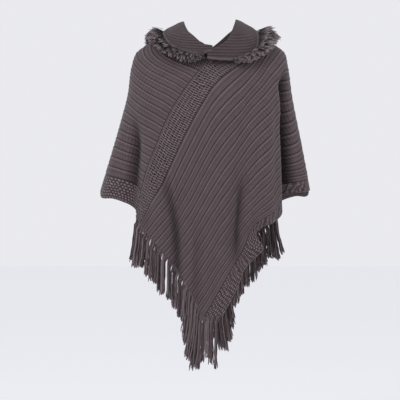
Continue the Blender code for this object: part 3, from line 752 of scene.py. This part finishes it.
def make_fringe(name, turn, material, node, rng):
    """Tassels of loose yarns, each with a knot, on a corded edge along a panel's end."""
    shares = END_MARGIN + (1 - 2 * END_MARGIN) * (np.arange(TASSELS) + 0.5) / TASSELS
    root, out = panel_points(turn, np.ones(TASSELS), shares)
    before, _ = panel_points(turn, np.full(TASSELS, 0.99), shares)
    nearby, _ = panel_points(turn, np.ones(TASSELS), shares + END_PROBE)
    onward = unit(root - before)
    along_edge = (nearby - root) / END_PROBE / TASSELS
    aside = unit((nearby - root) * (1, 1, 0))
    level = unit(out * (1, 1, 0))
    sizes = read(TASSEL_SIZES, TASSEL_COLUMNS, (np.arange(TASSELS) + 0.5) / TASSELS)
    count = np.arange(TASSELS)
    length = sizes["length"] * (1 + 0.06 * np.sin(2.1 * count) + 0.04 * np.sin(5.3 * count))
    stagger = (TASSEL_STAGGER * (-1.0) ** count)[:, None]
    down = np.array([0.0, 0.0, -1.0])
    root = root + out * WALL * ROOT_LIFT + onward * ROOT_REACH
    turned = root + (0.6 * onward + down) * TASSEL_TURN + level * stagger
    lean = aside * sizes["lean"][:, None] + level * stagger * 0.5
    paths = []
    tones = []
    t = np.linspace(0, 1, YARN_RINGS)
    for n in range(TASSELS):
        for _ in range(YARNS):
            angle, wave, curl = rng.uniform(0, 2 * np.pi, 3)
            reach = TASSEL_RADIUS * math.sqrt(rng.uniform(0.1, 1.0))
            drop = (length[n] - TASSEL_TURN) * (1 - YARN_SHORTEST * rng.random())
            spread = 0.85 + 0.15 * t + 0.3 * t**3
            swing = 0.0016 * np.sin(7 * t + wave) * t + 0.0009 * np.sin(19 * t + curl) * t
            middle = turned[n] + lean[n] * (t**1.5)[:, None] + down * (drop * t)[:, None]
            middle = middle + aside[n] * (reach * spread * np.cos(angle) + swing)[:, None]
            middle = middle + level[n] * (reach * spread * np.sin(angle) + swing * 0.6)[:, None]
            start = root[n] - onward[n] * ROOT_REACH + along_edge[n] * rng.uniform(-0.5, 0.5)
            paths.append(np.concatenate([start[None], middle]))
            tones.append(rng.uniform(*YARN_TONES))
    paths = np.array(paths)
    radii = np.full(paths.shape[:2], YARN_RADIUS)
    radii[:, -1] *= 0.6
    points, faces = tubes(paths, radii, YARN_SIDES)
    tone = np.repeat(tones, paths.shape[1] * YARN_SIDES)
    knot_places = [root - onward * ROOT_REACH, root, (root + turned) / 2, turned + down * 0.002]
    knots = tubes(np.stack(knot_places, axis=1), np.tile(KNOT_RADII, (TASSELS, 1)), CORD_SIDES)
    cord_shares = np.linspace(0.004, 0.996, CORD_POINTS)
    edge_points, edge_out = panel_points(turn, np.ones(CORD_POINTS), cord_shares)
    cord_path = (edge_points + edge_out * WALL * ROOT_LIFT)[None]
    cord = tubes(cord_path, np.full((1, CORD_POINTS), CORD_RADIUS), CORD_SIDES)
    for more_points, more_faces in (knots, cord):
        points, faces = joined(points, faces, more_points, more_faces)
        tone = np.concatenate([tone, np.full(len(more_points), CORD_TONE)])
    return make_piece(name, points, faces, material, node, tone)


def above_body(azimuth, drop, lift):
    point, out = with_out(plain_drape, azimuth, drop)
    return point + out * (WALL + lift)


def hood_sections(side, table, lift, away, rows):
    """Hood cloth as a grid: a row for each station around the neck, from the neck seam to the rim."""
    at = read(table, HOOD_COLUMNS, away)
    azimuth = side * away
    at_front = 1 - ease((away - table[0][0]) / OVERLAP_FADE)
    neck = plain_drape(azimuth, np.zeros(len(away))) + (0, 0, WALL + SEAM_GAP)
    neck = neck + polar(azimuth, lift * at_front, 0)
    roll = polar(azimuth, at["roll_reach"], at["roll_z"])
    rim = polar(azimuth, at["rim_reach"], at["rim_z"])
    pouch_drop = np.maximum(at["pouch_drop"], POUCH_SHALLOW)
    hangs = ease((pouch_drop - POUCH_SHALLOW) / 0.10)
    knots = {0.0: neck, 0.5: (neck + roll) / 2, 1.0: roll}
    crown = np.zeros_like(roll)
    crown[:, 2] = FALL_CROWN * np.linalg.norm(rim - roll, axis=-1)
    for row in FALL_KNOTS:
        knot = dict(zip(FALL_COLUMNS, row))
        behind = above_body(azimuth, pouch_drop * knot["drop_share"], POUCH_LIFT)
        to_rim = at["rim_reach"] - np.hypot(behind[:, 0], behind[:, 1])
        behind = behind + polar(azimuth, knot["turn_out"] * to_rim, 0)
        in_front = roll + (rim - roll) * knot["fall_share"] + crown
        knots[knot["place"]] = in_front + (behind - in_front) * hangs[:, None]
    knots[RIM_PLACE] = rim
    places = sorted(knots)
    sections = []
    for n in range(len(away)):
        section = [along(places, [knots[place][n, k] for place in places], rows) for k in range(3)]
        sections.append(np.stack(section, axis=-1))
    return np.array(sections)


def grid_normals(points):
    return unit(np.cross(np.gradient(points, axis=0), np.gradient(points, axis=1)))


def hood_relief(away, rows, height):
    """Height and tone of the hood's welts, and how far fine ribs take their place at its roll.

    On the lapels the welts run level and bend towards the rim's line near it. On the pouch behind they
    follow it.
    """
    fall = (rows + 0 * away - 1.0) / (RIM_PLACE - 1.0)
    behind = ease((away - POUCH_FROM) / POUCH_FADE)
    rim_rise = height[:, -1:] - height[:, -1].min()
    level = (height - WELT_FOLLOW * rim_rise * np.clip(fall, 0, 1) ** 2) / WELT_PITCH
    welt = (1 - behind) * level + behind * (fall - WELT_START) / (1 - WELT_START) * WELTS
    lapel_fade, pouch_fade = WELT_FADES
    on_lapel = ease((WELT_TOP - height) / lapel_fade)
    on_pouch = ease((fall - WELT_START + pouch_fade / 2) / pouch_fade)
    welted = (1 - behind) * on_lapel + behind * on_pouch
    round_welt = np.abs(np.sin(np.pi * welt)) ** WELT_ROUNDNESS
    relief = WELT_HEIGHT * (round_welt - 0.5) * welted
    # painted shade: the tone falls almost to black in the dips between the welts
    tone = FINE_TONE * (1 - welted) + (WELT_TONES[0] + WELT_TONES[1] * round_welt) * welted
    return relief, tone, 1 - welted


def make_hood(name, side, table, lift, material, node):
    """One half of the hood, as a closed wall with a rolled rim."""
    away = np.linspace(table[0][0], table[-1][0] - BACK_SEAM_TURN, HOOD_STATIONS)
    rows = np.linspace(0, RIM_PLACE, HOOD_ROWS)
    middle = hood_sections(side, table, lift, away, rows)
    out = grid_normals(middle)
    out[-1, :, 0] = 0
    out = unit(out) * side
    height, tone, fine = hood_relief(away[:, None], rows[None, :], middle[..., 2])
    outer = middle + out * (HOOD_WALL / 2 + height)[..., None]
    inside = middle - out * (HOOD_WALL / 2 + height)[..., None]
    faces, _, _ = wall_faces(HOOD_STATIONS, HOOD_ROWS, 1)
    points = np.concatenate([outer.reshape(-1, 3), inside.reshape(-1, 3)])
    around = away * HOOD_TURN_LENGTH
    spread = np.broadcast_arrays(around[:, None], rows[None, :] * HOOD_ROW_LENGTH)
    places = np.tile(np.stack(spread, axis=-1).reshape(-1, 2), (2, 1))
    rim_radii = np.full((1, HOOD_STATIONS), RIM_ROLL)
    rim_points, rim_faces = tubes(middle[None, :, -1], rim_radii, RIM_SIDES)
    points, faces = joined(points, faces, rim_points, rim_faces)
    tones = np.append(np.tile(tone.ravel(), 2), np.full(len(rim_points), RIM_TONE))
    rim_places = np.stack([around, np.full(len(away), RIM_KNIT_WIDTH)], axis=-1)
    places = np.concatenate([places, np.repeat(rim_places, RIM_SIDES, axis=0)])
    fines = np.append(np.tile(fine.ravel(), 2), np.zeros(len(rim_points)))
    return make_piece(name, points, faces, material, node, tones, places, {"fine": fines})


def fur_frame(side, table, away):
    """The rim, the fur's outer edge, and the ways out and across the strip, at angles around the neck."""
    at = read(table, HOOD_COLUMNS, away)
    rim = polar(side * away, at["rim_reach"], at["rim_z"])
    tip = polar(side * away, at["fur_reach"], at["fur_z"])
    onward = polar(side * (away + 1), at["rim_reach"], at["rim_z"]) - rim
    outwards = unit(tip - rim)
    across = unit(np.cross(outwards, onward))
    across = across * np.sign(across[..., 2:])
    return rim, tip, outwards, across


def make_fur(name, side, table, first, material, node, rng):
    """Dense underfur with clumps of tapering hairs that lean out and down."""
    away = np.linspace(first, table[-1][0] - BACK_SEAM_TURN, FUR_STATIONS)
    rim, tip, outwards, across = fur_frame(side, table, away)
    root = rim + outwards * FUR_ROOT
    half = (tip - root) * FUR_CORE / 2
    angles = 2 * np.pi * np.arange(CORE_SIDES) / CORE_SIDES
    round_side = FUR_HALF_THICKNESS * 0.72 * np.sin(angles) * (0.65 + 0.35 * np.cos(angles))
    core = (root + half)[:, None] + half[:, None] * np.cos(angles)[:, None]
    core = core + across[:, None] * round_side[:, None]
    index = np.arange(FUR_STATIONS * CORE_SIDES).reshape(FUR_STATIONS, CORE_SIDES)
    caps = [index[0].tolist(), index[-1, ::-1].tolist()]
    core_faces = grid_quads(index, closed=True).tolist() + caps
    turn = rng.uniform(first, 180 - BACK_SEAM_TURN, FUR_CLUMPS)
    angle = rng.uniform(*CLUMP_ANGLES, FUR_CLUMPS)
    rim, tip, outwards, across = fur_frame(side, table, turn)
    width = np.linalg.norm(tip - rim, axis=-1)
    onward = unit(np.cross(across, outwards))
    root_share = FUR_CORE * (0.5 + 0.45 * np.cos(angle))
    base = rim + outwards * (FUR_ROOT + width * root_share)[:, None]
    base = base + across * (FUR_HALF_THICKNESS * 0.62 * np.sin(angle))[:, None]
    upright = 0.05 + 2.0 * ((1 - np.cos(angle)) / 2) ** 3
    heading = outwards + across * (upright * np.sin(angle))[:, None]
    heading = unit(heading + onward * rng.normal(0, 0.25, FUR_CLUMPS)[:, None])
    short_end = 0.4 + 0.6 * ease((turn - first) / 20)
    reach = width * (0.22 + 0.34 * (1 - root_share)) * rng.uniform(*CLUMP_SIZES, FUR_CLUMPS) * short_end
    paths = []
    t = np.linspace(0, 1, HAIR_RINGS)[None, :, None]
    for n in range(FUR_CLUMPS):
        start = base[n] + rng.normal(0, ROOT_SCATTER, (CLUMP_HAIRS, 3))
        goal = base[n] + heading[n] * reach[n] * rng.uniform(0.75, 1.1, (CLUMP_HAIRS, 1))
        goal = goal + rng.normal(0, TIP_SCATTER, (CLUMP_HAIRS, 3))
        goal[:, 2] -= HAIR_SAG * reach[n]
        bulge = across[n] * HAIR_BULGE * reach[n]
        start, goal = start[:, None], goal[:, None]
        paths.append(start + (goal - start) * t + bulge * 4 * t * (1 - t))
    paths = np.concatenate(paths)
    radii = np.tile(HAIR_RADIUS * np.linspace(1.0, HAIR_TAPER, HAIR_RINGS), (len(paths), 1))
    points, faces = tubes(paths, radii, HAIR_SIDES)
    hair_tone = np.repeat(rng.uniform(*CLUMP_TONES, FUR_CLUMPS), CLUMP_HAIRS)
    hair_tone = hair_tone + rng.normal(0, 0.06, len(paths))
    # hairs darken towards the root: partly the fur's own tipped colour, partly painted shade at the roots
    ring_tone = np.linspace(*HAIR_TONES, HAIR_RINGS)
    # painted light: one half's hairs are made paler than the other's
    tone = hair_tone[:, None, None] + FUR_PAINTED_LIGHT[name] + ring_tone[None, :, None]
    tone = np.broadcast_to(tone, (len(paths), HAIR_RINGS, HAIR_SIDES)).ravel()
    points, faces = joined(points, faces, core.reshape(-1, 3), core_faces)
    # the underfur's dark tone: partly its own colour, partly painted shade
    tone = np.concatenate([tone, np.full(core[..., 0].size, CORE_TONE)])
    return make_piece(name, points, faces, material, node, np.clip(tone, 0, 1))


def set_inputs(node, values):
    for socket, value in values.items():
        node.inputs[socket].default_value = value


def math_node(tree, operation, *values):
    """A calculation with numbers or other nodes' outputs."""
    node = tree.nodes.new("ShaderNodeMath")
    node.operation = operation
    for socket, value in zip(node.inputs, values):
        if isinstance(value, (int, float)):
            socket.default_value = value
        else:
            tree.links.new(value, socket)
    return node.outputs[0]


def mix_node(tree, first, second, share):
    """first where share is 0 and second where it is 1."""
    step = math_node(tree, "SUBTRACT", second, first)
    return math_node(tree, "MULTIPLY_ADD", step, share, first)


def near_node(tree, distance, reach):
    """1 where the distance is 0, falling softly to 0 at reach."""
    node = tree.nodes.new("ShaderNodeMapRange")
    node.interpolation_type = "SMOOTHSTEP"
    tree.links.new(distance, node.inputs["Value"])
    set_inputs(node, {"From Max": reach, "To Min": 1.0, "To Max": 0.0})
    return node.outputs[0]


def wave_node(tree, value, pitch):
    """Distance to the nearest whole pitch, from 0 to 0.5."""
    return math_node(tree, "PINGPONG", math_node(tree, "DIVIDE", value, pitch), 0.5)


def noise_node(tree, scale, detail=3.0):
    place = tree.nodes.new("ShaderNodeTexCoord")
    noise = tree.nodes.new("ShaderNodeTexNoise")
    set_inputs(noise, {"Scale": scale, "Detail": detail, "Roughness": 0.55})
    tree.links.new(place.outputs["Object"], noise.inputs["Vector"])
    return noise.outputs["Fac"]


def stray_node(tree, scale, amount, detail=3.0):
    """Noise to both sides of 0, spread over the amount."""
    around_zero = math_node(tree, "SUBTRACT", noise_node(tree, scale, detail), 0.5)
    return math_node(tree, "MULTIPLY", around_zero, amount)


def tone_ramp(tree, value, colours):
    ramp = tree.nodes.new("ShaderNodeValToRGB")
    while len(ramp.color_ramp.elements) < len(colours):
        ramp.color_ramp.elements.new(0.5)
    for element, (place, colour) in zip(ramp.color_ramp.elements, colours):
        element.position = place
        element.color = (*colour, 1.0)
    tree.links.new(value, ramp.inputs["Fac"])
    return ramp.outputs["Color"]


def new_material(name, roughness, sheen, sheen_roughness):
    material = bpy.data.materials.new(name)
    material.use_nodes = True
    tree = material.node_tree
    shader = tree.nodes["Principled BSDF"]
    set_inputs(shader, {"Roughness": roughness, "Specular IOR Level": 0.25})
    set_inputs(shader, {"Sheen Weight": sheen, "Sheen Roughness": sheen_roughness})
    return material, tree, shader


def add_bump(tree, shader, height, strength, distance):
    bump = tree.nodes.new("ShaderNodeBump")
    set_inputs(bump, {"Strength": strength, "Distance": distance})
    tree.links.new(height, bump.inputs["Height"])
    tree.links.new(bump.outputs["Normal"], shader.inputs["Normal"])


def attribute(tree, name):
    node = tree.nodes.new("ShaderNodeAttribute")
    node.attribute_name = name
    return node.outputs["Fac"]


def moss_node(tree, length, width):
    """Short dashes along the cloth, by turns, not quite even."""
    calc = partial(math_node, tree)
    drift = stray_node(tree, 60.0, MOSS_DRIFT)
    drifted_width = calc("ADD", width, calc("MULTIPLY", drift, 0.3))
    row = calc("DIVIDE", drifted_width, MOSS_ROW)
    odd = calc("MULTIPLY", calc("FLOOR", row), 0.5 * MOSS_PITCH)
    shifted = calc("ADD", calc("ADD", length, drift), odd)
    off_along = wave_node(tree, shifted, MOSS_PITCH)
    off_across = calc("SUBTRACT", 0.5, calc("PINGPONG", row, 0.5))
    soft_along, soft_across = MOSS_SOFTNESS
    dash = near_node(tree, off_along, soft_along)
    return calc("MULTIPLY", dash, near_node(tree, off_across, soft_across))


def lace_node(tree, length, width):
    """Light, with rows of short dark holes across the band, by turns from column to column."""
    calc = partial(math_node, tree)
    from_strip = calc("SUBTRACT", PANEL_WIDTH - SELVEDGE, width)
    column = calc("DIVIDE", from_strip, LACE_COLUMN)
    odd = calc("MODULO", calc("FLOOR", column), 2.0)
    place = calc("SUBTRACT", calc("FRACT", column), 0.5)
    drift = stray_node(tree, 90.0, LACE_DRIFT)
    shift = calc("MULTIPLY_ADD", odd, 0.5 * LACE_PITCH, drift)
    slant = calc("MULTIPLY_ADD", place, LACE_SLANT * LACE_PITCH, shift)
    off_hole = wave_node(tree, calc("ADD", length, slant), LACE_PITCH)
    soft_along, soft_across = LACE_SOFTNESS
    hole = near_node(tree, off_hole, soft_along)
    inside = near_node(tree, calc("ABSOLUTE", place), soft_across)
    return calc("SUBTRACT", 1.0, calc("MULTIPLY", hole, inside))


def stitch_node(tree, length, width):
    """Height of small V-shaped stitches."""
    calc = partial(math_node, tree)
    across = calc("FRACT", calc("DIVIDE", width, STITCH_WIDTH))
    slope = calc("ABSOLUTE", calc("SUBTRACT", across, 0.5))
    row = calc("DIVIDE", length, STITCH_LENGTH)
    running = calc("MULTIPLY_ADD", slope, 1.3, row)
    loops = calc("PINGPONG", running, 0.5)
    return calc("SUBTRACT", calc("MULTIPLY", loops, 1.4), slope)


def knit_material():
    """Marled yarn in small stitches, with moss stitch, open work and fine ribs where the cloth has any."""
    material, tree, shader = new_material("poncho_knit", 0.92, 0.12, 0.5)
    calc = partial(math_node, tree)
    uv = tree.nodes.new("ShaderNodeUVMap")
    uv.uv_map = "knit"
    parts = tree.nodes.new("ShaderNodeSeparateXYZ")
    tree.links.new(uv.outputs["UV"], parts.inputs[0])
    length, width = parts.outputs[0], parts.outputs[1]
    covers = {
        "moss": moss_node(tree, length, width),
        "lace": lace_node(tree, length, width),
        "fine": near_node(tree, wave_node(tree, length, HOOD_RIB), 0.30),
    }
    height = stitch_node(tree, length, width)
    tone = calc("MULTIPLY_ADD", wave_node(tree, length, ROW_PITCH), 0.28, -0.07)
    tone = calc("ADD", attribute(tree, "tone"), tone)
    for kind, cover in covers.items():
        dark, light, relief = PATTERNS[kind]
        share = attribute(tree, kind)
        patterned = calc("MULTIPLY_ADD", cover, light - dark, dark)
        tone = mix_node(tree, tone, patterned, share)
        raised = calc("MULTIPLY", calc("MULTIPLY", cover, relief), share)
        height = calc("ADD", height, raised)
    mottle = stray_node(tree, 38.0, 0.14)
    grain = stray_node(tree, 420.0, 0.40, detail=2.0)
    value = calc("ADD", calc("ADD", tone, mottle), grain)
    tree.links.new(tone_ramp(tree, value, KNIT_TONES), shader.inputs["Base Color"])
    height = calc("MULTIPLY_ADD", noise_node(tree, 900.0, 2.0), 0.8, height)
    add_bump(tree, shader, height, 0.6, 0.0008)
    return material


def fibre_material(name, surface, tones, stray, grain, bump):
    """Loose yarn or hair, coloured by the tone of each point, with a fine grain."""
    material, tree, shader = new_material(name, *surface)
    value = math_node(tree, "ADD", attribute(tree, "tone"), stray_node(tree, *stray))
    tree.links.new(tone_ramp(tree, value, tones), shader.inputs["Base Color"])
    add_bump(tree, shader, noise_node(tree, grain, 2.0), *bump)
    return material


def make_stage():
    """A pale floor well below the hanging poncho."""
    mesh = bpy.data.meshes.new("floor")
    ways = ((-1, -1), (1, -1), (1, 1), (-1, 1))
    corners = [(x * FLOOR_REACH, y * FLOOR_REACH, FLOOR_Z) for x, y in ways]
    mesh.from_pydata(corners, [], [(0, 1, 2, 3)])
    floor = add_object("floor", mesh)
    material, _, shader = new_material("floor_pale", 0.9, 0.0, 0.5)
    set_inputs(shader, {"Base Color": FLOOR_COLOUR, "Emission Color": STUDIO_COLOUR})
    set_inputs(shader, {"Emission Strength": FLOOR_GLOW})
    mesh.materials.append(material)


def add_area_light(name, place, aim, size, power):
    light = bpy.data.lights.new(name, "AREA")
    light.shape = "RECTANGLE"
    light.size, light.size_y = size
    light.energy = power
    lamp = add_object(name, light)
    lamp.location = place
    direction = np.array(aim) - np.array(place)
    yaw = math.atan2(direction[1], direction[0]) - math.pi / 2
    pitch = math.pi / 2 + math.atan2(direction[2], math.hypot(direction[0], direction[1]))
    lamp.rotation_euler = (pitch, 0, yaw)


def make_light():
    bpy.context.scene.view_settings.view_transform = "Standard"
    world = bpy.data.worlds.new("studio")
    world.use_nodes = True
    backdrop = world.node_tree.nodes["Background"]
    set_inputs(backdrop, {"Color": STUDIO_COLOUR, "Strength": 1.0})
    bpy.context.scene.world = world
    for name, row in LIGHTS.items():
        add_area_light(name, **dict(zip(LIGHT_COLUMNS, row)))


def make_camera():
    camera = bpy.data.cameras.new("camera")
    camera.sensor_width = 36.0
    camera.lens = 36.0 * CAMERA_DISTANCE / FRAME_WIDTH
    holder = add_object("camera", camera)
    holder.location = (CAMERA_X, -CAMERA_DISTANCE, CAMERA_Z)
    holder.rotation_euler = (math.pi / 2, 0, 0)
    bpy.context.scene.camera = holder


def main():
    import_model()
    rng = np.random.default_rng(SEED)
    knit = knit_material()
    yarn = fibre_material(*YARN)
    fur = fibre_material(*FUR)
    grids = panel_grids()
    for name, turn, fringed in (("left", 0, "front"), ("right", 180, "back")):
        panel = make_panel(f"{name}_panel_knit", turn, grids[turn], knit, f"{name}_panel")
        fringe = make_fringe(f"{fringed}_fringe_yarns", turn, yarn, f"{fringed}_fringe", rng)
    halves = (("left", 1, LEFT_HOOD, HOOD_OVERLAP), ("right", -1, RIGHT_HOOD, 0.0))
    for name, side, table, lift in halves:
        hood = make_hood(f"hood_{name}_knit", side, table, lift, knit, f"hood_{name}")
        trim = make_fur(f"fur_{name}", side, table, FUR_START[name], fur, f"fur_trim_{name}", rng)
    make_stage()
    make_light()
    make_camera()


main()
